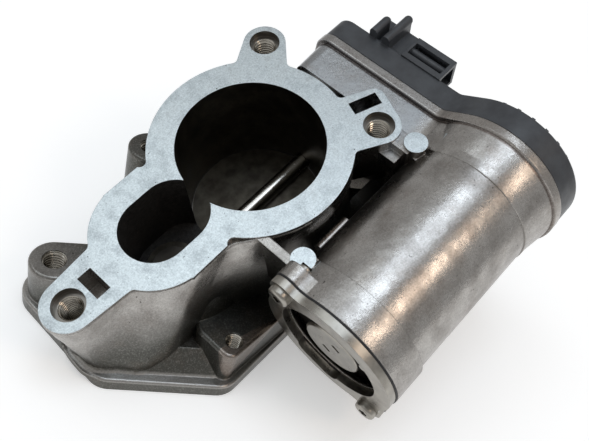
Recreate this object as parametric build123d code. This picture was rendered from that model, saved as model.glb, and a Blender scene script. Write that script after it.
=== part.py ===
from build123d import *
import os
from math import acos, atan2, cos, degrees, hypot, pi, radians, sin, sqrt, tan

# Exhaust gas recirculation valve with an intake throttle: one die-cast body, one motor, two flaps on
# one shaft.  Everything is drawn from the upper flange: its face is z = 0, the main bore's axis is z,
# and +x runs along the motor towards the gears.  At the end the assembly is stood on its base face.

# ---------------------------------------------------------------- driving dimensions, mm and degrees
BORE_R = 25.0                 # main air bore
BODY_DEPTH = 66.6             # upper face to base face, along the bore's axis
BASE_TILT = 23.0              # lean of the base face's normal towards the gear end
RUN_FIT = 0.05                # radial clearance of a turning fit
SEAT_FIT = 0.02               # clearance of a seated piece in its own body

PORT_R = 11.7                 # mixing lobe beside the bore
PORT_X = -(BORE_R + 17.0)     # its centre
NECK_X = -(BORE_R + 9.3)      # centre of the round end that opens into the bore
PORT_FLOOR = -30.0            # where the lobe steps down to the gas port
GAS_X = PORT_X + 1.0          # gas port centre
GAS_R = 7.4                   # gas port bore inside its seat ring
SEAT_RING_R = GAS_R + 2.0     # outside of the seat ring

RING_R = BORE_R + 9.3         # upper flange round the bore
LOBE_R = PORT_R + 9.0         # upper flange round the lobe
FLANGE_T = 9.0                # upper flange
BODY_SPREAD = 2.419           # growth of the body's outline over the walls' whole height
WALL_INSET = 1.2              # step from the flange's edge to the wall under it

THREAD_R = 4.0                # M8 holes
THREAD_DEPTH = 18.0
MOUTH_R = THREAD_R + 1.33     # counterbore at each M8 hole of the upper face
MOUTH_DEPTH = 2.6
SIDE_LUG = (PORT_X - 34.0, 0.0)
SIDE_LUG_R = THREAD_R + 4.8
GEAR_LUG = (BORE_R + 8.85, BORE_R + 1.3)      # mirrored in y
GEAR_LUG_R = THREAD_R + 3.5
LUG_DEPTH = 24.0
SLOT_DEPTH = 11.0
SIDE_SLOT = (SIDE_LUG[0] + 9.5, -0.2, 5.0, 9.4, 0.0)       # centre x, y, size x, y, turn
GEAR_SLOT = (GEAR_LUG[0] + 3.65, 9.1 - GEAR_LUG[1], 10.3, 4.9, -20.5)

PLATE_T = 5.0                 # base flange
REGISTER_R = BORE_R + 3.0     # recess for the outlet duct's spigot, in the base face
REGISTER_DEPTH = 4.0
GAS_REGISTER_R = SEAT_RING_R + 3.2
GAS_REGISTER_DEPTH = 2.0
BOSS_R = THREAD_R + 4.2       # base bolt bosses
BASE_PORT_X = -(BORE_R + 20.6)        # the lobe's place on the base face
BOSS_A = (BASE_PORT_X - 37.1, LOBE_R + 3.3, 20.0)  # base frame x, y and height
BOSS_C = (BASE_PORT_X + 14.5, RING_R + 3.7, 34.0)
BOSS_D = (BORE_R - 5.0, 7.3 - RING_R, 30.0)
BOSS_B = (BASE_PORT_X - 12.4, -(LOBE_R + 14.7), 18.4)
BLIND_DEPTH = 22.0            # blind thread in boss D, the others go through
SMALL_THREAD_R = 3.0          # M6 hole in the front platform

LOBE_FLARE = 15.0             # spread of the lobe's wall below the flange, degrees
LUG_FLARE = 13.0
RIM_LEDGE = 2.2               # base flange left flat outside the walls
RIM_ROUND = 0.9
FOOT_RISE = 7.0
BOSS_ROUND = 1.2
PAD_R = 4.0                   # ejector pads level with the upper face

SHAFT_Y = 0.0
SHAFT_Z = -39.0
MOTOR_BORE_R = 21.75
BARREL_R = MOTOR_BORE_R + 2.45
BARREL_END_R = MOTOR_BORE_R + 3.45
MOTOR_Y = -(RING_R + BARREL_R + 3.0)          # motor axis
MODULE = MOTOR_Y / -61.5      # gear module, grown with the distance between the two lines of shafts
MOTOR_Z = SHAFT_Z + 20.0 * MODULE
PINION_TEETH = 12
LARGE_TEETH = 48
SMALL_TEETH = 14
SECTOR_TEETH = 62             # teeth of the full circle
BACKLASH = 0.16

BARREL_STEP_X = -16.0
BARREL_BACK = -27.6           # open end of the barrel
PAD_BACK = (BARREL_BACK + 8.7, -RING_R - 6.3)
PAD_GEAR = (BORE_R + 11.6, -RING_R - 5.3)
EAR_LENGTH = 5.4
FLARE = 2.0                   # growth of the barrel's radius towards the tray
TRAY_X = BORE_R + 13.0        # back of the gear tray's floor
FLARE_X = TRAY_X
MOTOR_STOP = TRAY_X - 2.0     # end of the motor's bore

SHAFT_R = 3.0
SEAT_RING_END = SHAFT_Z - SHAFT_R - 0.8       # lower end of the seat ring
FLAP_T = 2.0
FLAP_R = BORE_R - 0.4
FLAP_FLAT = SHAFT_R - 1.1     # shaft axis to the throttle plate's seat
GAS_FLAP_R = GAS_R - 0.25
GAS_FLAP_T = 1.6
TRAVEL = 80.0                 # throttle closed to open

SECTOR_X = (TRAY_X + 8.0, TRAY_X + 13.0)
LARGE_X = (TRAY_X + 15.0, TRAY_X + 19.0)
PIN_R = 2.0
PIN_END_X = TRAY_X + 21.5     # end of the idler's pin, in the cover's socket

FLOOR_X = (TRAY_X, TRAY_X + 3.5)              # gear tray floor
LIP_X = (TRAY_X + 13.0, TRAY_X + 16.5)        # rim that carries the cover
TRAY_WALL = 2.2
LIP_ROUND = 0.7
LIP_STEP = 1.8
GASKET_T = 0.4
COVER_DEPTH = 9.6
COVER_WALL = 2.0
COVER_DRAFT = 5.0
COVER_ROUND = 1.2
COVER_SCREWS = (              # y and z
    (10.2, SHAFT_Z + MODULE * (SECTOR_TEETH / 2 + 1) - 2.6),
    (MOTOR_Y + 16.0, MOTOR_Z + 11.6),
    (MOTOR_Y - 16.0, MOTOR_Z + 11.5),
    (MOTOR_Y - 10.0, MOTOR_Z - 18.0),
    (-28.0 * MODULE, SHAFT_Z - 27.0 * MODULE),
    (14.5, SHAFT_Z - 14.5),
)
SCREW_BOSS_R = 4.3
SCREW_R = 2.0
SCREW_FIT = 0.08

CAP_T = 2.8                   # plate that holds the motor in
CAP_GASKET_T = 0.6
CAP_WINDOW_R = MOTOR_BORE_R - 2.95
CAP_SCREW_RADIUS = BARREL_END_R + 0.6
CAP_SCREW_TURNS = (45.0, 225.0)
CAP_EAR_R = 4.9
EAR_BLEND = 7.0               # hollow curve from an ear to the barrel
HEAD_R = 3.75
HEAD_T = 2.6
RECESS_R = 1.35               # six-lobed socket in a screw's head
RECESS_DEPTH = 1.5
LOBE_TIP_R = 0.42
COVER_X = (LIP_X[1] + GASKET_T, LIP_X[1] + GASKET_T + COVER_DEPTH)
HEAD_SEAT = COVER_X[1] - 4.5  # cover screws sink into the cover
CAP_X = (BARREL_BACK - CAP_GASKET_T - CAP_T, BARREL_BACK - CAP_GASKET_T)

BUSH_R = SHAFT_R + 1.5        # plain bush between the port and the bore
BUSH_X = (GAS_X + SEAT_RING_R + 0.6, -BORE_R - 0.2)
SEAL_R = SHAFT_R + 4.0
SEAL_X = (TRAY_X - 8.0, TRAY_X - 4.0)
BEARING_R = SHAFT_R + 4.5
BEARING_X = (TRAY_X - 3.8, FLOOR_X[1])
FLAP_SCREWS = (-9.0, 9.0)     # along the shaft
FLAP_SCREW_R = 1.5
GAS_SCREW_R = 1.0
GAS_SCREW_SEAT = SHAFT_R - 0.7        # flat under the gas plate screw's head, from the shaft's axis
MAGNET_X = (TRAY_X + 18.0, TRAY_X + 20.6)
HUB_R = SHAFT_R + 5.6         # sector gear's hub
HUB_X = (TRAY_X + 4.0, TRAY_X + 17.0)

CAN_R = MOTOR_BORE_R - RUN_FIT
CAN_T = 1.2
CAN_X = (-24.8, TRAY_X - 4.2)
SHIELD_X = (TRAY_X - 4.2, TRAY_X - 2.05)
CORE_X = (-14.0, TRAY_X - 24.0)
CORE_R = MOTOR_BORE_R - 8.75
BRUSH_X = SHIELD_X[0] - 5.2   # middle of the brushes
DRIVE_END_X = FLOOR_X[1] - 0.9        # front of the end shield's bearing boss
SPINDLE_R = 1.6
END_DISC_R = 10.6             # round cap on the can's closed end
END_DISC_X = -29.2

SHROUD_X = (COVER_X[1] - 1.9, COVER_X[1] + 9.2)       # plug shroud
SHROUD_Y = (-28.8, -12.0)
SHROUD_Z = (-13.0, -2.0)
SHROUD_WALL = 1.5
ROOT_X = COVER_X[1] + 11.5    # outer end of the shroud's root
ROOT_Y = (-12.4, 3.0)
ROOT_Z = (-13.0, -4.5)
KEYS = ((-4.6, COVER_X[1] + 13.5), (0.9, COVER_X[1] + 8.0))    # y and outer end of each keying ridge
KEY_R = 1.7
KEY_Z = -0.6
PIN_X = COVER_X[1] + 1.9      # first contact blade
PIN_Z = (-9.6, -8.2)
LATCH_X = COVER_X[1] + 4.5    # bar inside the shroud that the plug's latch hooks on
RIB_COUNT = 12                # ribs on the cover's outer face, turned from y about the motor's axis
RIB_START = 30.0
RIB_STEP = 13.0
RIB_REACH = (16.5, 24.5)
RIB_T = 1.3
BOARD_X = (COVER_X[1] - 4.1, COVER_X[1] - 2.7)

# ---------------------------------------------------------------- frames and small builders
FOOT = (Align.CENTER, Align.CENTER, Align.MIN)
HEAD = (Align.CENTER, Align.CENTER, Align.MAX)
LEAN = radians(BASE_TILT)
BASE = Plane(origin=(0, 0, -BODY_DEPTH), x_dir=(cos(LEAN), 0, -sin(LEAN)), z_dir=(sin(LEAN), 0, cos(LEAN)))
SIDE = Plane.YZ


def post(radius, bottom, top, x=0.0, y=0.0):
    """Round post along z."""
    return Pos(x, y, bottom) * Cylinder(radius, top - bottom, align=FOOT)


def rod(radius, start, end, y, z):
    """Round rod along x."""
    return Pos(start, y, z) * Rot(0, 90, 0) * Cylinder(radius, end - start, align=FOOT)


def slab(sketch, start, end):
    """A sketch in y and z, extruded along x."""
    return extrude(SIDE.offset(start) * sketch, amount=end - start)


def disc(radius, place):
    return Pos(*place) * Circle(radius)


def hull(*circles):
    """Convex outline round some circles, each given as radius, x, y."""
    edges = Sketch() + [Pos(x, y) * Circle(r) for r, x, y in circles]
    return make_hull(edges.edges())


def on_base(shape):
    """Move a shape drawn on the base face to its place."""
    return BASE.location * shape


def soften(sketch, radius):
    """Round the inner corners of an outline."""
    return offset(offset(sketch, radius), -radius)


def box_between(low, high):
    size = [b - a for a, b in zip(low, high)]
    centre = [(a + b) / 2 for a, b in zip(low, high)]
    return Pos(*centre) * Box(*size)


# ---------------------------------------------------------------- gear train
def toward(start, end):
    """Direction from one axis to another, in degrees."""
    return degrees(atan2(end[1] - start[1], end[0] - start[0]))


def polar(centre, radius, angle):
    return (centre[0] + radius * cos(radians(angle)), centre[1] + radius * sin(radians(angle)))


MOTOR = (MOTOR_Y, MOTOR_Z)
SHAFT = (SHAFT_Y, SHAFT_Z)
PINION_GAP = MODULE * (PINION_TEETH + LARGE_TEETH) / 2
SECTOR_GAP = MODULE * (SMALL_TEETH + SECTOR_TEETH) / 2
SPAN = hypot(MOTOR[0] - SHAFT[0], MOTOR[1] - SHAFT[1])
LIFT = degrees(acos((SPAN**2 + SECTOR_GAP**2 - PINION_GAP**2) / (2 * SPAN * SECTOR_GAP)))
IDLER = polar(SHAFT, SECTOR_GAP, toward(SHAFT, MOTOR) + LIFT)
TO_MOTOR = toward(IDLER, MOTOR)
TO_SHAFT = toward(IDLER, SHAFT)
MESH = TO_SHAFT + 180.0       # direction of the sector's mesh, from the shaft
SECTOR_PITCH = 360.0 / SECTOR_TEETH
SECTOR_COUNT = int(TRAVEL / SECTOR_PITCH) + 4


def involute(angle):
    return tan(angle) - angle


def tooth(teeth, centre, angle):
    """One tooth's outline from root to root, counter-clockwise, as points."""
    pitch = MODULE * teeth / 2
    base = pitch * cos(radians(20))
    root = pitch - 1.25 * MODULE
    half_at_pitch = pi / (2 * teeth) - BACKLASH / (4 * pitch)
    flank = []
    for radius in (root, max(base, root + 0.1), pitch + 0.15 * MODULE, pitch + MODULE):
        roll = acos(min(1.0, base / radius))
        half = half_at_pitch + involute(radians(20)) - involute(roll)
        flank.append((radius, degrees(half)))
    rising = [polar(centre, r, angle - half) for r, half in flank]
    falling = [polar(centre, r, angle + half) for r, half in reversed(flank)]
    return rising + falling


def gear_outline(teeth, centre, first):
    """Full gear, one tooth centred on the direction called first."""
    points = []
    for index in range(teeth):
        points += tooth(teeth, centre, first + index * 360.0 / teeth)
    return make_face(Polyline(*points, close=True))


def sector_outline():
    """Toothed arc of the sector with its two straight sides."""
    points = [SHAFT]
    for index in range(SECTOR_COUNT):
        turn = MESH + (1.5 - (SECTOR_COUNT - 1) + index) * SECTOR_PITCH
        points += tooth(SECTOR_TEETH, SHAFT, turn)
    return make_face(Polyline(*points, close=True))


# ---------------------------------------------------------------- outlines shared by several pieces
def upper_outline(lugs=True):
    """Upper flange: ring, lobe, side lug and the lugs at the gear end."""
    outline = Circle(RING_R) + disc(LOBE_R, (PORT_X, 0))
    outline += Pos((PORT_X - RING_R) / 2, 0) * Rectangle(RING_R + PORT_X + 22, 2 * LOBE_R)
    outline += hull((SIDE_LUG_R, *SIDE_LUG), (SIDE_LUG_R + 1.6, SIDE_LUG[0] + 20, 0))
    if lugs:
        for side in (1, -1):
            root = (0.66 * GEAR_LUG[0], side * 0.66 * GEAR_LUG[1])
            outline += hull((GEAR_LUG_R, GEAR_LUG[0], side * GEAR_LUG[1]), (9.5, *root))
        outline += hull((GEAR_LUG_R, GEAR_LUG[0], -GEAR_LUG[1]), (4.0, 41.2, -18.0), (3.4, 31.5, -12.5))
    return soften(outline, 2.0)


def tray_outline():
    """Outside of the gear tray's wall, in y and z."""
    wall_s = MODULE * (SECTOR_TEETH / 2 + 1) + 0.6 + TRAY_WALL
    wall_i = MODULE * (LARGE_TEETH / 2 + 1) + 0.8 + TRAY_WALL
    wall_m = BARREL_R + 1.0
    top = SHAFT_Z + wall_s
    low = polar(SHAFT, wall_s - 12.0, 235.0)
    corner = COVER_SCREWS[0]
    ear = SCREW_BOSS_R + 1.0
    block = Rectangle(45.0 + corner[0], wall_s, align=(Align.MAX, Align.MAX))
    outline = hull((wall_m, *MOTOR), (wall_i, *IDLER)) + hull((wall_i, *IDLER), (12.0, *low))
    outline += Pos(corner[0], top) * block
    trim = Rectangle(60.0, 120.0, align=(Align.MAX, Align.CENTER))
    outline += disc(wall_s, SHAFT) & (Pos(4.0, SHAFT_Z) * trim)
    outline += hull((21.0, *SHAFT), (ear, corner[0], top - ear), (ear, *COVER_SCREWS[5]))
    outline += hull((ear, *COVER_SCREWS[4]), (12.0, *low))
    return soften(outline, 5.0)


TRAY = tray_outline()
LIP = offset(TRAY, LIP_STEP)
TRAY_INSIDE = offset(TRAY, -TRAY_WALL)


def cap_screw_places():
    return [polar(MOTOR, CAP_SCREW_RADIUS, turn) for turn in CAP_SCREW_TURNS]


def cap_outline(grow=0.0):
    """Outside of the end cap, its gasket and the casting's end behind them."""
    outline = disc(BARREL_END_R - 0.4 + grow, MOTOR)
    for place in cap_screw_places():
        inner = polar(MOTOR, 14.0, toward(MOTOR, place))
        outline += hull((CAP_EAR_R + grow, *place), (7.0, *inner))
    return soften(outline, EAR_BLEND)


# ---------------------------------------------------------------- the casting
def base_outline():
    """Base flange, in the base face's own x and y."""
    a = BOSS_A[:2]
    c = BOSS_C[:2]
    d = BOSS_D[:2]
    p = BASE_PORT_X
    side = (8.0, p - 40.4, -10.0)
    front = (8.5, p - 15.4, -LOBE_R - 13.1)
    outline = hull(side, front, (9.0, *d), (RING_R - 0.8, 0, 0), (22.0, p, 0))
    outline += hull((10.0, *a), side, (10.0, p - 14.4, 5.0))
    outline += hull((9.5, *c), (10.0, -14.0, 20.0), (10.0, -36.0, 12.0))
    return soften(outline, 4.0)


def body_core():
    """Drafted walls from the upper flange down past the base face."""
    flange = extrude(upper_outline(), amount=-FLANGE_T)
    under = offset(upper_outline(lugs=False), -WALL_INSET)
    height = BODY_DEPTH + 20.0
    walls = extrude(under, amount=-height, taper=-degrees(atan2(BODY_SPREAD, height)))
    core = flange + walls
    for side in (1, -1):
        x, y = GEAR_LUG[0], side * GEAR_LUG[1]
        core += post(GEAR_LUG_R - 0.6, -LUG_DEPTH, -1.0, x, y)
        inner = hull((GEAR_LUG_R - 0.6, x, y), (8.0, 0.7 * x, 0.7 * y))
        core += extrude(Pos(0, 0, -1.0) * inner, amount=-(LUG_DEPTH - 5.0))
    return core


def flared_walls():
    """The lobe's and the side lug's walls, spread towards the base flange and kept inside its rim."""
    walls = None
    for radius, x, y, flare in ((LOBE_R, PORT_X, 0.0, LOBE_FLARE), (SIDE_LUG_R, *SIDE_LUG, LUG_FLARE)):
        top = radius - WALL_INSET
        depth = BODY_DEPTH
        cone = Pos(x, y, -FLANGE_T) * Cone(top + depth * tan(radians(flare)), top, depth, align=HEAD)
        walls = cone if walls is None else walls + cone
    keep = on_base(extrude(offset(base_outline(), -RIM_LEDGE), amount=BODY_DEPTH))
    return walls & keep


def base_foot():
    """Slope from the walls down to the base flange's rim, on the front side."""
    p = BASE_PORT_X
    low = hull((6.0, p - 39.9, -9.5), (6.0, p - 15.9, -LOBE_R - 11.8), (24.0, p, 0))
    high = hull((5.0, p - 34.9, -6.5), (5.0, p - 16.4, -LOBE_R - 3.3), (21.0, p - 0.9, 0))
    levels = [Pos(0, 0, PLATE_T - 0.5) * low, Pos(0, 0, PLATE_T + FOOT_RISE) * high]
    return on_base(loft(levels, ruled=True))


def rounded_boss(outline, height, radius):
    """Boss on the base flange with a rounded top edge."""
    boss = extrude(outline, amount=height)
    return on_base(fillet(boss.edges().group_by(Axis.Z)[-1], radius))


def base_parts():
    """Base flange, bolt bosses and the front platform."""
    plate = extrude(base_outline(), amount=PLATE_T)
    solid = on_base(fillet(plate.edges().group_by(Axis.Z)[-1], RIM_ROUND)) + base_foot()
    p = BASE_PORT_X
    roots = ((BOSS_A, (p - 24.4, LOBE_R - 7.7)), (BOSS_C, (-20.0, RING_R - 8.3)), (BOSS_D, (10.0, -18.0)))
    for place, root in roots:
        solid += rounded_boss(hull((BOSS_R, *place[:2]), (BOSS_R, *root)), place[2], BOSS_ROUND)
    edge = BOSS_B[1]
    platform = hull((3.4, p - 15.4, edge - 1.2), (6.0, p - 12.9, edge + 8.4), (3.0, -26.0, -35.5), (6.0, -30.0, -20.0))
    return solid + rounded_boss(platform, BOSS_B[2], BOSS_ROUND)


def motor_barrel():
    """Barrel round the motor: its end section with the screw ears, and its flare towards the tray."""
    solid = rod(BARREL_R, BARREL_STEP_X - 1.0, LIP_X[0], *MOTOR)
    solid += rod(BARREL_END_R, BARREL_BACK, BARREL_STEP_X, *MOTOR)
    solid += slab(cap_outline(0.2), BARREL_BACK, BARREL_BACK + EAR_LENGTH)
    flare = Cone(BARREL_R, BARREL_R + FLARE, LIP_X[0] - FLARE_X, align=FOOT)
    solid += Pos(FLARE_X, *MOTOR) * Rot(0, 90, 0) * flare
    return solid


def gear_tray():
    """Tray behind the cover, drafted towards the barrel, with its lip."""
    back = extrude(SIDE.offset(LIP_X[0]) * TRAY, amount=-(LIP_X[0] - FLOOR_X[0]), taper=3.0)
    lip = extrude(SIDE.offset(LIP_X[0]) * LIP, amount=LIP_X[1] - LIP_X[0])
    lip = fillet(lip.edges().group_by(Axis.X)[0], LIP_ROUND)
    return back + lip


def webs():
    """Webs, ejector pads and the shaft's boss, between the body and the motor barrel."""
    solid = box_between((-23.3, -44.0, -24.0), (-20.2, -20.0, -0.6))
    solid += post(PAD_R, -14.0, 0.0, *PAD_BACK)
    solid += slab(hull((3.2, -41.0, -5.2), (8.0, -50.0, -14.0)), BARREL_BACK + 1.0, BARREL_STEP_X + 1.0)
    solid += post(PAD_R, -16.0, 0.0, *PAD_GEAR)
    solid += slab(hull((3.0, -40.5, -6.0), (9.0, -50.0, -14.0)), PAD_GEAR[0] - 3.6, FLARE_X + 2.0)
    solid += box_between((31.8, -40.0, -20.0), (36.2, -28.0, -1.2))
    solid += rod(2.0, -8.0, 6.0, -37.4, -15.0)
    solid += box_between((-6.0, -52.0, -47.0), (FLOOR_X[0] + 1.0, -24.0, -42.0))
    solid += rod(13.0, 20.0, FLOOR_X[0] + 1.0, *SHAFT)
    solid += box_between((28.0, -38.0, -9.0), (FLOOR_X[0] + 2.0, -13.0, SHAFT_Z + 34.8))
    return solid


def housing_cuts():
    """Everything bored, cored or machined out of the casting."""
    wide = BODY_DEPTH + 40.0
    cut = post(BORE_R, -wide, 1.0)
    neck = hull((PORT_R, PORT_X, 0), (PORT_R, NECK_X, 0))
    cut += extrude(Pos(0, 0, 1.0) * neck, amount=PORT_FLOOR - 1.0)
    cut += post(SEAT_RING_R, SEAT_RING_END, PORT_FLOOR + 1.0, GAS_X)
    cut += post(GAS_R, -wide, PORT_FLOOR, GAS_X)
    cut += on_base(Cylinder(REGISTER_R, 2 * REGISTER_DEPTH))
    gas_on_base = (GAS_X * cos(LEAN) - (BODY_DEPTH + gas_plane_z()) * sin(LEAN), 0)
    cut += on_base(Pos(*gas_on_base) * Cylinder(GAS_REGISTER_R, 2 * GAS_REGISTER_DEPTH))
    for x, y in (SIDE_LUG, GEAR_LUG, (GEAR_LUG[0], -GEAR_LUG[1])):
        cut += post(THREAD_R, -THREAD_DEPTH, 1.0, x, y)
        cut += post(MOUTH_R, -MOUTH_DEPTH, 1.0, x, y)
    for x, y, size_x, size_y, turn in (SIDE_SLOT, GEAR_SLOT):
        cut += Pos(x, y, 1.0) * Rot(0, 0, turn) * Box(size_x, size_y, SLOT_DEPTH + 1.0, align=HEAD)
    for place, radius in ((BOSS_A, THREAD_R), (BOSS_C, THREAD_R), (BOSS_B, SMALL_THREAD_R)):
        cut += on_base(Pos(place[0], place[1], -1.0) * Cylinder(radius, place[2] + 2.0, align=FOOT))
    cut += on_base(Pos(BOSS_D[0], BOSS_D[1], -1.0) * Cylinder(THREAD_R, BLIND_DEPTH + 1.0, align=FOOT))
    cut += rod(MOTOR_BORE_R, BARREL_BACK - 1.0, MOTOR_STOP, *MOTOR)
    cut += rod(6.6, MOTOR_STOP - 1.0, FLOOR_X[1] + 1.0, *MOTOR)
    cut += shaft_bores()
    return cut


def gas_plane_z():
    """Height of the base face on the gas port's axis."""
    return -BODY_DEPTH - GAS_X * tan(LEAN)


def shaft_bores():
    """The flap shaft's line: blind end bearing, bush, seal and needle bearing."""
    cut = rod(SHAFT_R + RUN_FIT, GAS_X - GAS_R - 4.0, GAS_X, *SHAFT)
    cut += rod(BUSH_R, *BUSH_X, *SHAFT)
    cut += rod(SHAFT_R + 0.3, GAS_X, FLOOR_X[1], *SHAFT)
    cut += rod(SEAL_R, SEAL_X[0], FLOOR_X[1] + 1.0, *SHAFT)
    cut += rod(BEARING_R, BEARING_X[0], FLOOR_X[1] + 1.0, *SHAFT)
    return cut


def tray_inside():
    """Hollow of the gear tray, less the screw bosses left standing in it."""
    hollow = slab(TRAY_INSIDE, FLOOR_X[1], LIP_X[1] + 1.0)
    for place in COVER_SCREWS:
        hollow -= rod(SCREW_BOSS_R, FLOOR_X[1] - 1.0, LIP_X[1] + 2.0, *place)
    return hollow


def valve_housing():
    solid = body_core() + flared_walls() + base_parts() + motor_barrel() + gear_tray() + webs()
    solid -= housing_cuts()
    solid -= tray_inside()
    for place in COVER_SCREWS:
        solid -= rod(SCREW_R + SCREW_FIT, LIP_X[1] - 9.0, LIP_X[1] + 1.0, *place)
    for place in cap_screw_places():
        solid -= rod(SCREW_R + SCREW_FIT, BARREL_BACK - 1.0, BARREL_BACK + 8.0, *place)
    solid -= rod(PIN_R, FLOOR_X[0] - 5.0, FLOOR_X[1] + 1.0, *IDLER)
    floor_box = Pos(0, 0, -50.0) * Box(400, 400, 100)
    return solid - on_base(floor_box)


# ---------------------------------------------------------------- shaft line
def flap_shaft():
    """Steel shaft with a flat under the throttle plate and a slot for the gas plate."""
    solid = rod(SHAFT_R, GAS_X - GAS_R - 3.5, MAGNET_X[0], *SHAFT)
    seat = SHAFT_Z - FLAP_FLAT
    solid -= box_between((-BORE_R + 0.2, -5, seat - 5), (BORE_R - 0.2, 5, seat))
    solid -= gas_pose(box_between((GAS_X - GAS_R, -4, -GAS_FLAP_T / 2), (GAS_X + GAS_R, 4, GAS_FLAP_T / 2)))
    for x in FLAP_SCREWS:
        solid -= post(1.5, seat - 1.0, SHAFT_Z + 1.2, x)
    screw_hole = Cylinder(1.0, 12.0) + Pos(0, 0, GAS_SCREW_SEAT) * Cylinder(2.2, 4.0, align=FOOT)
    return solid - gas_pose(Pos(GAS_X, 0, 0) * screw_hole)


def gas_pose(shape):
    """The gas plate is drawn shut about the origin's height and turned back by the travel."""
    return Pos(0, SHAFT_Y, SHAFT_Z) * Rot(-TRAVEL, 0, 0) * shape


def throttle_plate():
    top = SHAFT_Z - FLAP_FLAT
    solid = post(FLAP_R, top - FLAP_T, top)
    for x in FLAP_SCREWS:
        solid -= post(1.5, top - FLAP_T - 1.0, top + 1.0, x)
    return solid


def throttle_plate_screws():
    top = SHAFT_Z - FLAP_FLAT
    screws = []
    for x in FLAP_SCREWS:
        head = Pos(x, 0, top - FLAP_T) * Cylinder(2.7, 1.6, align=HEAD)
        head = fillet(head.edges().group_by(Axis.Z)[0], 0.7)
        screws.append(head + post(1.5 - SEAT_FIT, top - FLAP_T - 0.5, SHAFT_Z + 1.0, x))
    return Compound(children=screws)


def egr_plate():
    half = GAS_FLAP_T / 2 - SEAT_FIT
    solid = Cylinder(GAS_FLAP_R, 2 * half)
    solid -= Cylinder(1.0, 4)
    return gas_pose(Pos(GAS_X, 0, 0) * solid)


def egr_plate_screw():
    """Screw through the shaft's two halves and the plate between them."""
    shank = Cylinder(1.0 - SEAT_FIT, 2 * GAS_SCREW_SEAT + 0.6)
    head = Pos(0, 0, GAS_SCREW_SEAT) * Cylinder(2.0, 1.3, align=FOOT)
    return gas_pose(Pos(GAS_X, 0, 0) * (shank + head))


def egr_seat_ring():
    solid = post(SEAT_RING_R - SEAT_FIT, SEAT_RING_END, PORT_FLOOR, GAS_X)
    solid -= post(GAS_R, SEAT_RING_END - 1, PORT_FLOOR + 1, GAS_X)
    return solid - rod(SHAFT_R + 0.3, GAS_X - 20, GAS_X + 20, *SHAFT)


def ring_x(outer, inner, start, end, centre):
    return rod(outer, start, end, *centre) - rod(inner, start - 1, end + 1, *centre)


def shaft_seal():
    """Lip seal: a rubber body with a hollow back."""
    solid = ring_x(SEAL_R - SEAT_FIT, SHAFT_R + RUN_FIT, *SEAL_X, SHAFT)
    return solid - ring_x(SEAL_R - 1.4, SHAFT_R + 1.3, SEAL_X[0] + 1.2, SEAL_X[1] + 1.0, SHAFT)


def shaft_bearing():
    return ring_x(BEARING_R - SEAT_FIT, SHAFT_R + RUN_FIT, BEARING_X[0], BEARING_X[1] - 0.3, SHAFT)


def shaft_bush():
    return ring_x(BUSH_R - SEAT_FIT, SHAFT_R + RUN_FIT, *BUSH_X, SHAFT)


def sector_gear():
    """Moulded sector: toothed arc on a ribbed web and a long hub."""
    solid = slab(sector_outline(), *SECTOR_X)
    solid += rod(HUB_R, *HUB_X, *SHAFT)
    rim = MODULE * SECTOR_TEETH / 2 - 5.0
    middle = MESH - (SECTOR_COUNT / 2 - 2.0) * SECTOR_PITCH
    spread = SECTOR_COUNT * SECTOR_PITCH / 2 - 9.0
    arc = disc(rim, SHAFT) - disc(HUB_R + 3.5, SHAFT)
    reach = [polar(SHAFT, 60.0, middle + turn) for turn in (-spread, 0.0, spread)]
    wedge = make_face(Polyline(SHAFT, *reach, close=True))
    pocket = slab(arc & wedge, SECTOR_X[0] + 2.0, SECTOR_X[1] + 1.0)
    for turn in (-spread / 2, 0.0, spread / 2):
        rib = Rot(middle + turn, 0, 0) * Box(1.6 * 3, 60.0, 1.8, align=(Align.CENTER, Align.MIN, Align.CENTER))
        pocket -= Pos(SECTOR_X[1], *SHAFT) * rib
    solid -= pocket
    return solid - rod(SHAFT_R + SEAT_FIT, HUB_X[0] - 1, HUB_X[1] + 1, *SHAFT)


def sensor_magnet():
    return rod(5.0, *MAGNET_X, *SHAFT)


def return_spring():
    """Torsion spring round the hub: three close turns and two straight ends."""
    wire, coil = 0.5, HUB_R + 1.6
    turns, pitch = 2.5, 1.2
    path = Helix(pitch, pitch * turns, coil)
    section = Plane(origin=path @ 0, z_dir=path % 0) * Circle(wire)
    body = sweep(section, path=path, is_frenet=True)
    start, end = path @ 0, path @ 1
    for point, way in ((start, -(path % 0)), (end, path % 1)):
        tail = Plane(origin=point, z_dir=way) * Cylinder(wire, 6.0, align=FOOT)
        body += tail
    return Pos(FLOOR_X[1] + 0.7, *SHAFT) * Rot(0, 90, 0) * body


def gear_pin():
    return rod(PIN_R - SEAT_FIT, FLOOR_X[0] - 4.5, PIN_END_X, *IDLER)


def intermediate_gear():
    """Moulded double gear: a 48-tooth wheel with a dished web, and a 14-tooth pinion."""
    solid = slab(gear_outline(SMALL_TEETH, IDLER, TO_SHAFT), SECTOR_X[0] - 0.5, LARGE_X[0] + 0.2)
    wheel = slab(gear_outline(LARGE_TEETH, IDLER, TO_MOTOR), *LARGE_X)
    rim = MODULE * LARGE_TEETH / 2 - 4.0
    dish = disc(rim, IDLER) - disc(6.5, IDLER)
    wheel -= slab(dish, LARGE_X[1] - 1.3, LARGE_X[1] + 1.0)
    for turn in range(6):
        hole = polar(IDLER, (rim + 6.5) / 2, TO_MOTOR + 30 + turn * 60)
        wheel -= rod(3.4, LARGE_X[0] - 1, LARGE_X[1] + 1, *hole)
    solid += wheel + rod(4.6, FLOOR_X[1] + 0.4, LARGE_X[1] + 0.8, *IDLER)
    return solid - rod(PIN_R + RUN_FIT, FLOOR_X[1] - 1, LARGE_X[1] + 3, *IDLER)


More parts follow.
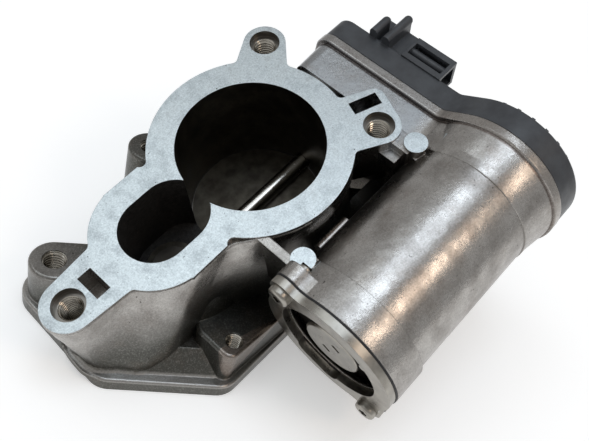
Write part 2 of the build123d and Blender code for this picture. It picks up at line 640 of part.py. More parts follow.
# ---------------------------------------------------------------- motor
def motor_can():
    """Drawn steel can, closed at the outer end round the bearing cup."""
    solid = rod(CAN_R, *CAN_X, *MOTOR)
    solid = fillet(solid.edges().filter_by(GeomType.CIRCLE).group_by(Axis.X)[0], 1.6)
    solid -= rod(CAN_R - CAN_T, CAN_X[0] + CAN_T, CAN_X[1] + 1, *MOTOR)
    return solid - rod(4.0, CAN_X[0] - 1, CAN_X[0] + 3, *MOTOR)


def motor_bearing_cap():
    """Round cap on the can's closed end, with two small vents."""
    solid = rod(END_DISC_R, END_DISC_X, CAN_X[0], *MOTOR)
    solid = fillet(solid.edges().filter_by(GeomType.CIRCLE).group_by(Axis.X)[0], 0.8)
    for side in (-1, 1):
        place = polar(MOTOR, 3.6, 30 + 90 * side)
        vent = Pos(-29.5, *place) * Rot(30 + 90 * side, 0, 0) * Box(2.4, 1.5, 3.2)
        solid -= vent
    solid -= rod(4.0, -27.4, CAN_X[0] + 1, *MOTOR)
    return solid


def rear_motor_bush():
    return ring_x(4.0 - SEAT_FIT, SPINDLE_R + RUN_FIT, -27.2, CAN_X[0] + CAN_T, MOTOR)


def motor_spindle():
    return rod(SPINDLE_R, -26.8, LARGE_X[1] + 1.0, *MOTOR)


def rotor_core():
    """Five-pole lamination stack."""
    face = disc(CORE_R, MOTOR) - disc(SPINDLE_R + SEAT_FIT, MOTOR)
    for pole in range(5):
        turn = 36 + 72 * pole
        mouth = Pos(*polar(MOTOR, CORE_R, turn)) * Rot(0, 0, turn) * Rectangle(5.0, 1.8)
        face -= mouth + core_slot(turn, 0.0)
    return slab(face, *CORE_X)


def core_slot(turn, gap):
    """Outline of one winding slot, or of the copper in it when a gap is left."""
    return hull((1.2 - gap, *polar(MOTOR, 5.9, turn)), (2.3 - gap, *polar(MOTOR, 8.9, turn)))


def rotor_windings():
    """Copper in the five slots, with rounded end turns at both ends."""
    slot = 6.6
    coils = []
    for pole in range(5):
        coils.append(slab(core_slot(36 + 72 * pole, RUN_FIT), CORE_X[0] - 3.0, CORE_X[1] + 3.0))
    ends = []
    for low, high in ((CORE_X[0] - 5.2, CORE_X[0] - 0.2), (CORE_X[1] + 0.2, CORE_X[1] + 5.2)):
        end = ring_x(slot + 4.4, 3.4, low, high, MOTOR)
        ends.append(fillet(end.edges().filter_by(GeomType.CIRCLE), 1.2))
    return Part() + ends + coils


def commutator():
    """Five copper bars round an insulating sleeve."""
    solid = ring_x(4.6, SPINDLE_R + SEAT_FIT, CORE_X[1] + 5.4, CORE_X[1] + 14.4, MOTOR)
    for bar in range(5):
        turn = 72 * bar
        place = polar(MOTOR, 4.6, turn)
        groove = Rot(turn, 0, 0) * Box(10.0, 1.2, 0.5)
        solid -= Pos(CORE_X[1] + 10.0, *place) * groove
    return solid


def field_magnets():
    """Two arc magnets against the can."""
    arcs = []
    for side in (0, 180):
        face = disc(CAN_R - CAN_T - SEAT_FIT, MOTOR) - disc(CORE_R + 0.6, MOTOR)
        reach = [polar(MOTOR, 60.0, side + turn) for turn in (-62, 0, 62)]
        wedge = make_face(Polyline(MOTOR, *reach, close=True))
        arcs.append(slab(face & wedge, CORE_X[0] - 3.0, CORE_X[1] + 3.0))
    return Compound(children=arcs)


def motor_end_shield():
    """Moulded end shield with the brush guides and the drive-end bearing's boss."""
    solid = rod(CAN_R, *SHIELD_X, *MOTOR)
    solid += rod(CAN_R - CAN_T - SEAT_FIT, SHIELD_X[0] - 2.0, SHIELD_X[0] + 0.1, *MOTOR)
    solid += rod(6.4, SHIELD_X[1] - 0.1, DRIVE_END_X, *MOTOR)
    for side in (-1, 1):
        place = (MOTOR_Y, MOTOR_Z + side * 11.5)
        solid += Pos(BRUSH_X, *place) * Box(7.0, 6.0, 12.0)
    for side in (-1, 1):
        place = (MOTOR_Y, MOTOR_Z + side * 10.5)
        solid -= Pos(BRUSH_X, *place) * Box(4.6, 3.6, 18.0)
    solid -= rod(3.6, SHIELD_X[1] - 1.0, FLOOR_X[1], *MOTOR)
    return solid - rod(SPINDLE_R + 0.4, CORE_X[1], LARGE_X[0], *MOTOR)


def brushes():
    """Two carbon blocks bearing on the commutator."""
    blocks = []
    for side in (-1, 1):
        inner, outer = 4.7, 13.0
        middle = MOTOR_Z + side * (inner + outer) / 2
        blocks.append(Pos(BRUSH_X, MOTOR_Y, middle) * Box(4.5, 3.5, outer - inner))
    return Compound(children=blocks)


def front_motor_bush():
    return ring_x(3.6 - SEAT_FIT, SPINDLE_R + RUN_FIT, SHIELD_X[1] - 1.0, DRIVE_END_X - 0.2, MOTOR)


def motor_pinion():
    outline = gear_outline(PINION_TEETH, MOTOR, TO_MOTOR + 180.0 + 180.0 / PINION_TEETH)
    solid = slab(outline, LARGE_X[0] - 0.6, LARGE_X[1] + 0.6)
    return solid - rod(SPINDLE_R + SEAT_FIT, LARGE_X[0] - 2, LARGE_X[1] + 2, *MOTOR)


# ---------------------------------------------------------------- motor's outer end
def end_cap_plate():
    """Pressed plate with a round window and two screw ears."""
    window = disc(CAP_WINDOW_R, MOTOR) + hull((4.0, *polar(MOTOR, 17.4, -62.0)), (4.0, *polar(MOTOR, 18.0, -92.0)))
    window -= disc(1.3, polar(MOTOR, CAP_WINDOW_R, 134.0))
    solid = slab(cap_outline() - window, *CAP_X)
    for place in cap_screw_places():
        solid -= rod(SCREW_R + 0.2, CAP_X[0] - 1, CAP_X[1] + 1, *place)
    return solid


def end_cap_gasket():
    face = cap_outline(0.25) - disc(MOTOR_BORE_R, MOTOR)
    solid = slab(face, CAP_X[1], BARREL_BACK)
    for place in cap_screw_places():
        solid -= rod(SCREW_R + 0.2, CAP_X[1] - 1, BARREL_BACK + 1, *place)
    return solid


def pan_screw(seat, length, centre, faces=-1):
    """Pan-head screw along x with a six-lobed socket: head outside the seat, shank inside it."""
    head = fillet(Cylinder(HEAD_R, HEAD_T, align=FOOT).edges().group_by(Axis.Z)[-1], 1.1)
    socket = Circle(RECESS_R)
    for turn in range(6):
        socket += disc(LOBE_TIP_R, polar((0, 0), RECESS_R, 60.0 * turn))
    screw = head - extrude(Pos(0, 0, HEAD_T) * socket, amount=-RECESS_DEPTH)
    screw += post(SCREW_R, -length, 0.1)
    return Pos(seat, *centre) * Rot(0, 90 * faces, 0) * screw


def end_cap_screws():
    return Compound(children=[pan_screw(CAP_X[0], 10.5, place) for place in cap_screw_places()])


def wave_washer():
    """Dished spring washer between the can and the plate."""
    outer, inner = CAN_R - 0.3, CAP_WINDOW_R - 0.6
    back, front, thick = CAN_X[0], CAP_X[1], 0.5
    profile = Polyline((front, inner), (front + thick, inner), (back, outer), (back - thick, outer), close=True)
    face = Plane(origin=(0, *MOTOR), x_dir=(1, 0, 0), z_dir=(0, -1, 0)) * make_face(profile)
    return revolve(face, axis=Axis((0, *MOTOR), (1, 0, 0)), revolution_arc=360)


# ---------------------------------------------------------------- cover
def cover_gasket():
    face = offset(TRAY, LIP_STEP - 0.5) - offset(TRAY, -TRAY_WALL + 0.6)
    solid = slab(face, LIP_X[1], COVER_X[0])
    for place in COVER_SCREWS:
        solid -= rod(SCREW_BOSS_R, LIP_X[1] - 1, COVER_X[0] + 1, *place)
    return solid


def connector():
    """Plug shroud on the cover, open towards the motor side, on a root with two keying ridges."""
    inside = COVER_X[1] - 1.0
    solid = box_between((inside, SHROUD_Y[0], SHROUD_Z[0]), (SHROUD_X[1], SHROUD_Y[1], SHROUD_Z[1]))
    root = box_between((inside, ROOT_Y[0], ROOT_Z[0]), (ROOT_X, ROOT_Y[1], ROOT_Z[1]))
    solid += fillet(root.edges().group_by(Axis.X)[-1], 1.5)
    for y, end in KEYS:
        ridge = rod(KEY_R, inside, end - KEY_R, y, KEY_Z) + Pos(end - KEY_R, y, KEY_Z) * Sphere(KEY_R)
        wall = box_between((inside, y - KEY_R, ROOT_Z[0] + 2.0), (end - KEY_R, y + KEY_R, KEY_Z))
        solid += ridge + wall
    inner_low = (COVER_X[1] + 0.6, SHROUD_Y[0] - 1.0, SHROUD_Z[0] + SHROUD_WALL)
    inner_high = (SHROUD_X[1] - SHROUD_WALL, SHROUD_Y[1] - 2.0, SHROUD_Z[1] - SHROUD_WALL)
    solid -= box_between(inner_low, inner_high)
    window_low = (COVER_X[1] + 1.2, SHROUD_Y[0] + 1.4, SHROUD_Z[1] - SHROUD_WALL - 1.0)
    solid -= box_between(window_low, (SHROUD_X[1] - 2.4, SHROUD_Y[1] - 1.0, SHROUD_Z[1] + 1.0))
    latch = rod(1.5, SHROUD_Y[0] + 1.0, SHROUD_Y[1] + 0.5, 0, 0)
    return solid + Pos(LATCH_X, 0, SHROUD_Z[1] - 2.6) * Rot(0, 0, 90) * latch


def cooling_ribs():
    """Short radial ribs on the cover's outer face, over the motor."""
    ribs = []
    for index in range(RIB_COUNT):
        turn = RIB_START + index * RIB_STEP
        rib = Box(RIB_T, RIB_REACH[1] - RIB_REACH[0], 3.0, align=(Align.CENTER, Align.MIN, Align.CENTER))
        rib = Pos(0, RIB_REACH[0], 0) * rib
        ribs.append(Pos(COVER_X[1], *MOTOR) * Rot(turn, 0, 0) * Rot(0, 90, 0) * rib)
    return ribs


def gear_cover():
    """Moulded cover: rounded shell, screw pillars, gear-pin socket and the plug shroud."""
    outer = offset(TRAY, LIP_STEP - 0.3)
    solid = extrude(SIDE.offset(COVER_X[0]) * outer, amount=COVER_DEPTH)
    solid = fillet(solid.edges().group_by(Axis.X)[-1], COVER_ROUND)
    inner = offset(TRAY, LIP_STEP - 0.3 - COVER_WALL)
    hollow = extrude(SIDE.offset(COVER_X[0] - 0.01) * inner, amount=COVER_DEPTH - COVER_WALL, taper=COVER_DRAFT)
    for place in COVER_SCREWS:
        hollow -= rod(SCREW_BOSS_R + 0.4, COVER_X[0] - 1, COVER_X[1], *place)
    hollow -= rod(4.2, PIN_END_X - 0.5, COVER_X[1], *IDLER)
    solid = solid - hollow + connector()
    for rib in cooling_ribs():
        solid += rib
    for place in COVER_SCREWS:
        solid -= rod(HEAD_R + 0.4, HEAD_SEAT, COVER_X[1] + 1, *place)
        solid -= rod(SCREW_R + 0.15, COVER_X[0] - 1, COVER_X[1], *place)
    for blade in pin_blades(SEAT_FIT):
        solid -= blade
    return solid - rod(PIN_R + SEAT_FIT, PIN_END_X - 1.5, PIN_END_X + 0.7, *IDLER)


def cover_screws():
    screws = [pan_screw(HEAD_SEAT, 13.0, place, faces=1) for place in COVER_SCREWS]
    return Compound(children=screws)


def sensor_board():
    """Circuit board behind the cover, facing the magnet, with its chip."""
    solid = box_between((BOARD_X[0], -13.0, SHAFT_Z - 11.0), (BOARD_X[1], 11.0, SHAFT_Z + 14.0))
    chip = box_between((BOARD_X[0] - 1.0, -2.5, SHAFT_Z - 2.5), (BOARD_X[0], 2.5, SHAFT_Z + 2.5))
    return solid + chip


def pin_blades(grow=0.0):
    """Five contact blades, from the board side of the cover into the shroud."""
    blades = []
    for index in range(5):
        x = PIN_X + 1.1 * index
        low = (x - 0.3 - grow, SHROUD_Y[0] + 7.0, PIN_Z[0] - grow)
        blades.append(box_between(low, (x + 0.3 + grow, SHROUD_Y[1] - 0.4, PIN_Z[1] + grow)))
    return blades


def connector_pins():
    return Compound(children=pin_blades())


NODES = {
    "valve_housing": valve_housing,
    "flap_shaft": flap_shaft,
    "throttle_plate": throttle_plate,
    "throttle_plate_screws": throttle_plate_screws,
    "egr_plate": egr_plate,
    "egr_plate_screw": egr_plate_screw,
    "egr_seat_ring": egr_seat_ring,
    "shaft_bush": shaft_bush,
    "shaft_seal": shaft_seal,
    "shaft_bearing": shaft_bearing,
    "sector_gear": sector_gear,
    "sensor_magnet": sensor_magnet,
    "return_spring": return_spring,
    "gear_pin": gear_pin,
    "intermediate_gear": intermediate_gear,
    "motor_can": motor_can,
    "motor_bearing_cap": motor_bearing_cap,
    "rear_motor_bush": rear_motor_bush,
    "motor_spindle": motor_spindle,
    "rotor_core": rotor_core,
    "rotor_windings": rotor_windings,
    "commutator": commutator,
    "field_magnets": field_magnets,
    "motor_end_shield": motor_end_shield,
    "brushes": brushes,
    "front_motor_bush": front_motor_bush,
    "motor_pinion": motor_pinion,
    "end_cap_plate": end_cap_plate,
    "end_cap_gasket": end_cap_gasket,
    "end_cap_screws": end_cap_screws,
    "wave_washer": wave_washer,
    "cover_gasket": cover_gasket,
    "gear_cover": gear_cover,
    "cover_screws": cover_screws,
    "sensor_board": sensor_board,
    "connector_pins": connector_pins,
}


def main():
    os.makedirs("parts", exist_ok=True)
    stand = BASE.location.inverse()
    for node, build in NODES.items():
        export_step(stand * build(), f"parts/{node}.step")


main()
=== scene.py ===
"""EGR valve with an intake throttle: the finished surfaces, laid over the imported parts."""

import math

import bpy
import numpy as np
from mathutils import Euler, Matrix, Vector


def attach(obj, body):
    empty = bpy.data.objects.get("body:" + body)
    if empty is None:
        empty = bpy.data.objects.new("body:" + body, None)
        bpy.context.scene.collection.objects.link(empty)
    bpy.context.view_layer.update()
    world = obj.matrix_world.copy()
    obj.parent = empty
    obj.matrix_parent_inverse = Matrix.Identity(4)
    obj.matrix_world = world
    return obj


bl_info = {
    "name": "EGR valve surfaces",
    "version": (1, 0, 0),
    "blender": (4, 5, 0),
    "location": "View3D > Sidebar > EGR valve",
    "description": "Finishes, body wall, threads and stage of an EGR valve with an intake throttle",
    "category": "Object",
}

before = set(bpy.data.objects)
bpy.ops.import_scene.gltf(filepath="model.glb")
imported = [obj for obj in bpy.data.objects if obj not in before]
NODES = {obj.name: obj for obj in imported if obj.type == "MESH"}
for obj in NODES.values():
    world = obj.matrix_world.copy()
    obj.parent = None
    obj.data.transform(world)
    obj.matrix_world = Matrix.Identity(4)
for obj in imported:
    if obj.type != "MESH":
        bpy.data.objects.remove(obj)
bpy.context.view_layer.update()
MM = 0.001
CUT_EDGE = 0.2 * MM           # softened edge of cut faces

# ------------------------------------------------------------------ places, mm, from the upper flange
# The upper flange's face is z = 0 and the main bore's axis is z; +x runs along the motor to the gears.
BODY_DEPTH = 66.6
LEAN = math.radians(23.0)
MOTOR_Y, MOTOR_Z = -61.5, -19.0
BARREL_OUT = 27.5             # the barrel's finish reaches this far from the motor's axis
BORE_OUT = 25.06
LOBE_X = (-42.0, -34.3)       # centres of the lobe's two ends
LOBE_OUT = 11.78
FACE_Z = -0.04                # faces above this level are milled, and walls below UNDER_FACE_Z are not
UNDER_FACE_Z = -0.05
PADS_TOP_Z = 0.4
PADS_END_Y, PADS_END_X = -45.2, 46.0   # the milled plane ends before the barrel and the gear tray
BASE_FACE_Z = 0.04            # in the base frame
RIM_HIGHLIGHT_Z = (4.15, 5.6)           # painted highlight along the edge of the base flange, in the base frame
LIP_X = (51.3, 54.4)          # lip of the gear tray
LIP_ROOT_X = (50.3, 51.1)

FLANGE_HOLES = ((-76.0, 0.0), (33.85, 26.3), (33.85, -26.3))
FLANGE_THREAD = (4.0, 1.25, -2.7, -17.6)      # radius, pitch, top and bottom
CUT_OUT = 5.4                 # bright cut metal round each of those holes
BASE_HOLES = (                # base frame x, y, bottom, top, radius and pitch
    (-82.7, 24.0, 0.0, 20.0, 4.0, 1.25),
    (-31.1, 38.0, 0.0, 34.0, 4.0, 1.25),
    (20.0, -27.0, 0.0, 22.0, 4.0, 1.25),
    (-58.0, -35.4, 0.0, 18.4, 3.0, 1.0),
)
THREAD_START = 0.5            # thread held back from both ends of a base hole

WALL_SECTIONS = 180
SHARP_FROM = math.radians(40.0)
FOOT_R = 2.2
FOOT_Z = 4.6                  # level of the wall's foot, in the base frame
FOOT_SINK = 2.0               # how far the wall goes on into the base flange
WALL_T = 3.0
WALL_LIP = ((-0.5, -0.8), (0.1, -1.3), (0.35, -2.2))   # growth of the outline and level under the face
WALL_STATIONS = (             # the flange's outline and the wall's foot, each as x and y in its own frame
    ((-82.2, 6.3), (-94.4, 3.0)),
    ((-84.3, 2.9), (-95.0, -0.5)),
    ((-84.7, -1.1), (-95.3, -4.0)),
    ((-83.4, -4.8), (-95.3, -7.6)),
    ((-80.5, -7.6), (-94.2, -11.0)),
    ((-76.7, -8.8), (-93.3, -12.2)),
    ((-68.7, -9.4), (-91.6, -13.8)),
    ((-64.7, -9.7), (-90.4, -14.8)),
    ((-61.2, -10.4), (-88.6, -16.2)),
    ((-58.1, -13.1), (-86.4, -18.6)),
    ((-55.2, -15.9), (-84.2, -20.8)),
    ((-51.9, -18.2), (-81.6, -22.5)),
    ((-48.2, -19.7), (-78.6, -23.9)),
    ((-44.4, -20.6), (-75.4, -25.1)),
    ((-40.4, -20.7), (-72.2, -25.8)),
    ((-36.3, -20.7), (-69.0, -26.0)),
    ((-32.3, -20.9), (-65.6, -25.8)),
    ((-28.9, -22.0), (-61.5, -24.9)),
    ((-25.6, -24.4), (-54.0, -24.4)),
    ((-21.0, -27.3), (-46.0, -26.4)),
    ((-15.0, -30.9), (-37.0, -28.6)),
    ((-7.0, -33.6), (-26.0, -30.5)),
)

# ------------------------------------------------------------------------ stage, metres and degrees
LAMPS = (                     # name, the setting that holds its power, side, colour and place
    ("key_lamp", "key_power", 0.6, "#E4F1FF", (0.0, -0.1, 1.5)),
    ("face_lamp", "face_power", 0.8, "#EEF8FF", (-0.42, 0.6, 1.45)),
    ("side_lamp", "side_power", 0.35, "#FFE6CF", (0.05, -0.95, 1.15)),
)
LAMP_AIM = (0.0, 0.0, 0.04)
EYE_PLACE = (-0.18035, -0.10198, 0.20935)
EYE_TURN = (44.782, -14.540, -49.223)
SENSOR_WIDTH = 36.0
FLOOR_LIFT = 0.35             # extra light of the floor, to camera, glossy and transmission rays only


def stand(points):
    """Points in mm from the upper flange, moved to the row frame in metres: shifted up by the body's
    depth, then leaned about y by the angle between the two flanges."""
    points = np.asarray(points, float)
    x, y, z = points[..., 0], points[..., 1], points[..., 2] + BODY_DEPTH
    c, s = math.cos(LEAN), math.sin(LEAN)
    return np.stack([x * c - z * s, y, x * s + z * c], -1) * MM


# ------------------------------------------------------------------------------------ node helpers
def linear(hex_colour, alpha=1.0):
    """An sRGB hex colour as linear RGBA."""
    values = [int(hex_colour[i : i + 2], 16) / 255 for i in (1, 3, 5)]
    return [v / 12.92 if v <= 0.04045 else ((v + 0.055) / 1.055) ** 2.4 for v in values] + [alpha]


def put(material, socket, value):
    """Links a socket's value, or sets it where it is a constant."""
    if isinstance(value, bpy.types.NodeSocket):
        material.node_tree.links.new(value, socket)
    else:
        socket.default_value = value


def add(material, kind, inputs=None, **settings):
    """Adds one node to a material's tree, with its settings, its input values and its links."""
    node = material.node_tree.nodes.new(kind)
    for name, value in settings.items():
        setattr(node, name, value)
    for name, value in (inputs or {}).items():
        put(material, node.inputs[name], value)
    return node


def new_material(name):
    """An empty node material, and the object's coordinates in mm."""
    material = bpy.data.materials.new(name)
    material.use_nodes = True
    material.node_tree.nodes.clear()
    place = add(material, "ShaderNodeTexCoord")
    scale = add(material, "ShaderNodeMapping", {"Vector": place.outputs["Object"], "Scale": (1000.0,) * 3})
    return material, scale.outputs["Vector"]


def noise(material, vector, size, detail=2.0, roughness=0.5):
    """A noise whose patches are about size mm across, from 0 to 1."""
    node = add(
        material,
        "ShaderNodeTexNoise",
        {"Vector": vector, "Scale": 1.0 / size, "Detail": detail, "Roughness": roughness},
    )
    return node.outputs["Fac"]


def spread(material, value, low, high, start, end):
    """A value's range from low to high, carried to start to end and held there."""
    node = add(
        material,
        "ShaderNodeMapRange",
        {"Value": value, "From Min": low, "From Max": high, "To Min": start, "To Max": end},
    )
    return node.outputs["Result"]


def blend(material, factor, first, second):
    """Two colours mixed by a factor."""
    node = add(material, "ShaderNodeMix", data_type="RGBA")
    for socket, value in ((0, factor), (6, first), (7, second)):
        put(material, node.inputs[socket], value)
    return node.outputs[2]


def tone_cloud(material, cloud, low, high, dark, light):
    """Two sRGB hex tones mixed by a noise between its low and high values."""
    return blend(material, spread(material, cloud, low, high, 0, 1), linear(dark), linear(light))


def finish_surface(material, height, depth, strength, edge, tone, rough, metal):
    """The shader of a surface: its grain as a bump depth mm deep, over edges softened by edge metres."""
    bevel = add(material, "ShaderNodeBevel", {"Radius": edge}, samples=4)
    grain = {"Height": height, "Distance": depth * MM, "Strength": strength}
    bump = add(material, "ShaderNodeBump", {**grain, "Normal": bevel.outputs["Normal"]})
    skin = {"Base Color": tone, "Roughness": rough, "Metallic": metal, "Normal": bump.outputs["Normal"]}
    shader = add(material, "ShaderNodeBsdfPrincipled", skin)
    add(material, "ShaderNodeOutputMaterial", {"Surface": shader.outputs["BSDF"]})
    return material


# --------------------------------------------------------------------------------------- materials
def distance_from_axis(material, vector, x, y):
    """Distance in mm from an upright axis through x and y."""
    apart = add(material, "ShaderNodeVectorMath", {0: vector, 1: (x, y, 0.0)}, operation="SUBTRACT")
    flat = add(
        material, "ShaderNodeVectorMath", {0: apart.outputs[0], 1: (1.0, 1.0, 0.0)}, operation="MULTIPLY"
    )
    return add(material, "ShaderNodeVectorMath", {0: flat.outputs[0]}, operation="LENGTH").outputs["Value"]


def math_node(material, operation, first, second=0.0, third=0.0):
    """One sum on numbers or sockets."""
    node = add(material, "ShaderNodeMath", {0: first, 1: second, 2: third}, operation=operation)
    return node.outputs[0]


def scaled(material, value, factor):
    """A value times a factor."""
    return math_node(material, "MULTIPLY", value, factor)


def length(material, first, second):
    """The length of two sides at a right angle."""
    square = math_node(material, "MULTIPLY", second, second)
    return math_node(material, "SQRT", math_node(material, "MULTIPLY_ADD", first, first, square))


def both(material, *masks):
    """Where every mask is on."""
    result = masks[0]
    for mask in masks[1:]:
        result = math_node(material, "MULTIPLY", result, mask)
    return result


def layer(material, mask, under, over):
    """One finish over another where the mask is on: tone, roughness, metal, grain height and edge."""
    mixed = {"tone": blend(material, mask, under["tone"], over["tone"])}
    for name in ("rough", "metal", "height", "edge"):
        node = add(material, "ShaderNodeMix", data_type="FLOAT")
        for socket, value in ((0, mask), (2, under[name]), (3, over[name])):
            put(material, node.inputs[socket], value)
        mixed[name] = node.outputs[0]
    return mixed


def in_flange_frame(material, mm):
    """The object's coordinates turned to the upper flange: its face is z = 0 and its bore's axis is z."""
    node = add(
        material,
        "ShaderNodeMapping",
        {"Vector": mm, "Rotation": (0.0, LEAN, 0.0), "Location": (0.0, 0.0, -BODY_DEPTH)},
    )
    return node.outputs["Vector"]


def band(material, value, low, high, soft=0.3):
    """On between two values, with soft ends."""
    rise = spread(material, value, low - soft, low + soft, 0.0, 1.0)
    fall = spread(material, value, high - soft, high + soft, 1.0, 0.0)
    return math_node(material, "MULTIPLY", rise, fall)


def tinted(material, mask, tone, colour):
    """A tone with a colour laid over it where the mask is on."""
    return blend(material, mask, tone, linear(colour))


def cast_skin(material, look, mm, x, y, z, base):
    """As-cast skin: satin metal mottled where it chilled, with a sparkling grain; painted shade makes it
    darker and browner low on the body and under the barrel, painted light makes it paler on the deck, and a
    painted highlight runs along the base flange's rim."""
    chill = noise(material, mm, 9.0, 4.0, 0.6)
    cloud = noise(material, mm, 3.2, 4.0, 0.6)
    spark = noise(material, mm, 0.55, 3.0, 0.7)
    tone = tone_cloud(material, chill, 0.35, 0.65, look.cast_dark, look.cast_light)
    up_motor = math_node(material, "ADD", z, -MOTOR_Z)
    out = length(material, math_node(material, "ADD", y, -MOTOR_Y), up_motor)
    barrel = math_node(material, "LESS_THAN", out, BARREL_OUT)
    off_barrel = math_node(material, "SUBTRACT", 1.0, barrel)
    # painted shade: the barrel darker and browner towards its underside
    under = both(material, barrel, spread(material, up_motor, -12.0, 10.0, 1.0, 0.0))
    tone = tinted(material, under, tone, look.barrel_painted_shade)
    # painted shade: the body's walls below the upper flange, off the barrel, darker
    body = both(
        material,
        off_barrel,
        spread(material, z, -22.0, -7.0, 1.0, 0.0),
        spread(material, x, 24.0, 34.0, 1.0, 0.0),
    )
    tone = tinted(material, body, tone, look.wall_painted_shade)
    # painted shade: darkest low on the body, fading out 16 mm above the base face
    low = both(material, spread(material, base, 4.0, 16.0, 1.0, 0.0), off_barrel)
    tone = tinted(material, scaled(material, low, 0.75), tone, look.low_painted_shade)
    # painted light: the deck beside the cover paler and bluer
    deck = both(
        material,
        spread(material, z, -12.0, -8.0, 0.0, 1.0),
        spread(material, y, -38.0, -32.0, 0.0, 1.0),
        spread(material, x, 27.0, 31.0, 0.0, 0.8),
    )
    tone = tinted(material, deck, tone, look.deck_painted_light)
    for value, reach, soft, share, colour in (
        # painted highlight in the cast's light tone along the base flange's rim
        (base, RIM_HIGHLIGHT_Z, 0.25, 0.7, look.cast_light),
        (x, LIP_X, 0.2, 0.6, look.lip_tone),
        (x, LIP_ROOT_X, 0.25, 0.75, "#4A3A33"),
    ):
        tone = tinted(material, scaled(material, band(material, value, *reach, soft), share), tone, colour)
    stain = both(
        material,
        spread(material, noise(material, mm, 14.0, 4.0, 0.6), 0.5, 0.68, 0.0, 0.6),
        spread(material, cloud, 0.4, 0.6, 0.3, 1.0),
    )
    tone = tinted(material, scaled(material, stain, 0.6), tone, look.cast_warm)
    tone = tinted(material, spread(material, spark, 0.5, 0.72, 0.0, 0.16), tone, "#E9E6E1")
    tone = tinted(material, spread(material, spark, 0.5, 0.3, 0.0, 0.3), tone, "#4B4845")
    pits = spread(material, noise(material, mm, 1.1, 2.0), 0.28, 0.23, 0.0, 0.8)
    tone = tinted(material, pits, tone, "#2A2724")
    swell = noise(material, mm, 2.4, 2.0)
    height = math_node(material, "MULTIPLY_ADD", swell, 1.3, scaled(material, spark, 0.6))
    rough = math_node(material, "ADD", spread(material, chill, 0.3, 0.7, 0.05, -0.04), look.cast_rough)
    rough = math_node(material, "ADD", rough, scaled(material, body, 0.06))
    return {"tone": tone, "rough": rough, "metal": 1.0, "height": height, "edge": look.cast_edge * MM}


def milled_face(material, look, mm, from_bore):
    """Face milled flat: pale blue-grey with faint cutter arcs, soft stains and a few small pores."""
    cloud = noise(material, mm, 5.0, 4.0, 0.62)
    turns = math_node(material, "SINE", scaled(material, from_bore, 4.2))
    grit = noise(material, mm, 0.5, 3.0, 0.7)
    tone = tone_cloud(material, cloud, 0.35, 0.65, look.milled_dark, look.milled_light)
    tone = tinted(material, spread(material, turns, -1.0, 1.0, 0.0, 0.06), tone, "#7E8487")
    tone = tinted(material, spread(material, grit, 0.5, 0.7, 0.0, 0.35), tone, "#F2F6F7")
    tone = tinted(material, spread(material, grit, 0.5, 0.3, 0.0, 0.35), tone, "#6C7072")
    wash = spread(material, noise(material, mm, 5.0, 5.0, 0.65), 0.54, 0.68, 0.0, 0.35)
    tone = tinted(material, wash, tone, "#6F7477")
    pores = spread(material, noise(material, mm, 0.9, 1.0), 0.25, 0.21, 0.0, 0.9)
    tone = tinted(material, pores, tone, "#1C1B1A")
    height = math_node(material, "MULTIPLY_ADD", turns, 0.05, scaled(material, grit, 0.5))
    rough = spread(material, cloud, 0.3, 0.7, 0.42, 0.32)
    return {"tone": tone, "rough": rough, "metal": 1.0, "height": height, "edge": CUT_EDGE}


def oiled_bore(material, look, mm):
    """Bored wall browned by oil, in smears under a thin film."""
    smear = noise(material, mm, 7.0, 4.0, 0.6)
    film = noise(material, mm, 1.6, 4.0, 0.65)
    tone = tone_cloud(material, smear, 0.35, 0.7, look.bore_dark, look.bore_light)
    tone = tinted(material, spread(material, film, 0.5, 0.7, 0.0, 0.5), tone, look.bore_film)
    rough = spread(material, smear, 0.3, 0.7, 0.32, 0.46)
    height = scaled(material, film, 0.8)
    return {"tone": tone, "rough": rough, "metal": 1.0, "height": height, "edge": CUT_EDGE}


def dry_soot(material, look, mm):
    """Dry soot crusted on the lobe's wall, with a few bright coked grains."""
    crust = noise(material, mm, 1.3, 5.0, 0.72)
    tone = tone_cloud(material, crust, 0.4, 0.7, look.soot_dark, look.soot_light)
    return {
        "tone": tinted(material, spread(material, crust, 0.66, 0.74, 0.0, 0.7), tone, "#8C8780"),
        "rough": spread(material, crust, 0.3, 0.7, 0.5, 0.75),
        "metal": spread(material, crust, 0.35, 0.6, 0.5, 0.1),
        "height": scaled(material, crust, 6.0),
        "edge": CUT_EDGE,
    }


